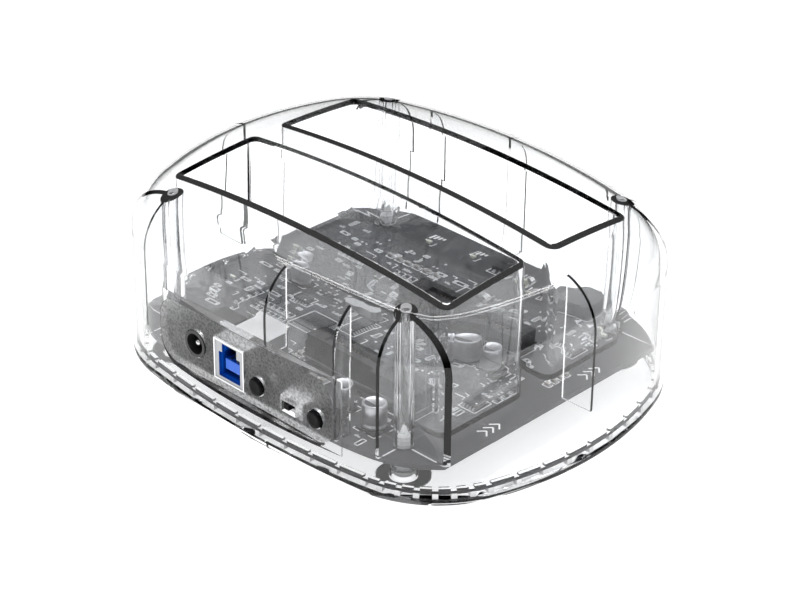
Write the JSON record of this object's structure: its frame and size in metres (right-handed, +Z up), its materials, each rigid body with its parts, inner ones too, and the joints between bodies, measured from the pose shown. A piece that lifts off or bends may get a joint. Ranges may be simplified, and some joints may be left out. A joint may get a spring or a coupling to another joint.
{
  "type": "hard drive docking station",
  "caption": "Clear rounded desktop dock with open slots in its top that hold bare hard drives upright; a data port, power inlet, buttons and a slide switch along one side.",
  "frame": {"origin": "on the table, under the middle of the base", "axes": "+Z up; +X along the drive slots; +Y out of the port face"},
  "size_m": [0.15, 0.119, 0.0575],
  "materials": {
    "clear_shell": "clear, polished, frosted at the port recess",
    "clear_base": "clear, polished",
    "foot_rubber": "soft matt, translucent grey",
    "screw_steel": "nickel plated",
    "board": "dark solder mask with pale print",
    "black_moulding": "fine matt",
    "button_black": "smooth matt",
    "white_moulding": "smooth",
    "blue_moulding": "smooth",
    "tin_plate": "bright tin plate",
    "contact_gold": "plated",
    "contact_silver": "plated",
    "aluminium_can": "brushed, with a dark mark",
    "ferrite": "pressed powder",
    "package_black": "moulded package",
    "lamp": "diffusing lens",
    "ceramic_chip": "fired"
  },
  "bodies": {
    "dock": {"top_shell": "clear_shell", "drive_well_rear": "clear_shell", "drive_well_front": "clear_shell", "base_plate": "clear_base", "case_screws": "screw_steel", "rubber_feet": "foot_rubber", "main_board": "board", "sata_socket_rear": "black_moulding", "sata_socket_front": "black_moulding", "sata_contacts_rear": "contact_gold", "sata_contacts_front": "contact_gold", "dc_jack_housing": "black_moulding", "dc_jack_pin": "contact_silver", "dc_jack_spring": "contact_silver", "usb_port_shell": "tin_plate", "usb_port_insulator": "blue_moulding", "usb_port_contacts": "contact_gold", "power_switch_body": "black_moulding", "clone_switch_body": "black_moulding", "mode_switch_base": "white_moulding", "mode_switch_cover": "tin_plate", "capacitor_cans": "aluminium_can", "capacitor_bases": "black_moulding", "power_inductor": "ferrite", "bridge_controller": "package_black", "clone_controller": "package_black", "flash_memory": "package_black", "logic_chip": "package_black", "voltage_regulators": "package_black", "power_mosfets": "package_black", "crystal": "tin_plate", "status_lights": "lamp", "chip_resistors": "package_black", "chip_capacitors": "ceramic_chip"},
    "power_button": {"power_button": "button_black", "power_switch_plunger": "white_moulding"},
    "clone_button": {"clone_button": "button_black"},
    "mode_slider": {"mode_slider": "button_black"}
  },
  "joints": [
    {"name": "power_button_push", "type": "slide", "parent": "dock", "child": "power_button", "axis": [0, -1, 0], "range_m": [0, 0.0008], "stiffness_N_per_m": 800},
    {"name": "clone_button_push", "type": "slide", "parent": "dock", "child": "clone_button", "axis": [0, -1, 0], "range_m": [0, 0.0005], "stiffness_N_per_m": 2500},
    {"name": "mode_slide", "type": "slide", "parent": "dock", "child": "mode_slider", "axis": [-1, 0, 0], "range_m": [0, 0.002]}
  ]
}
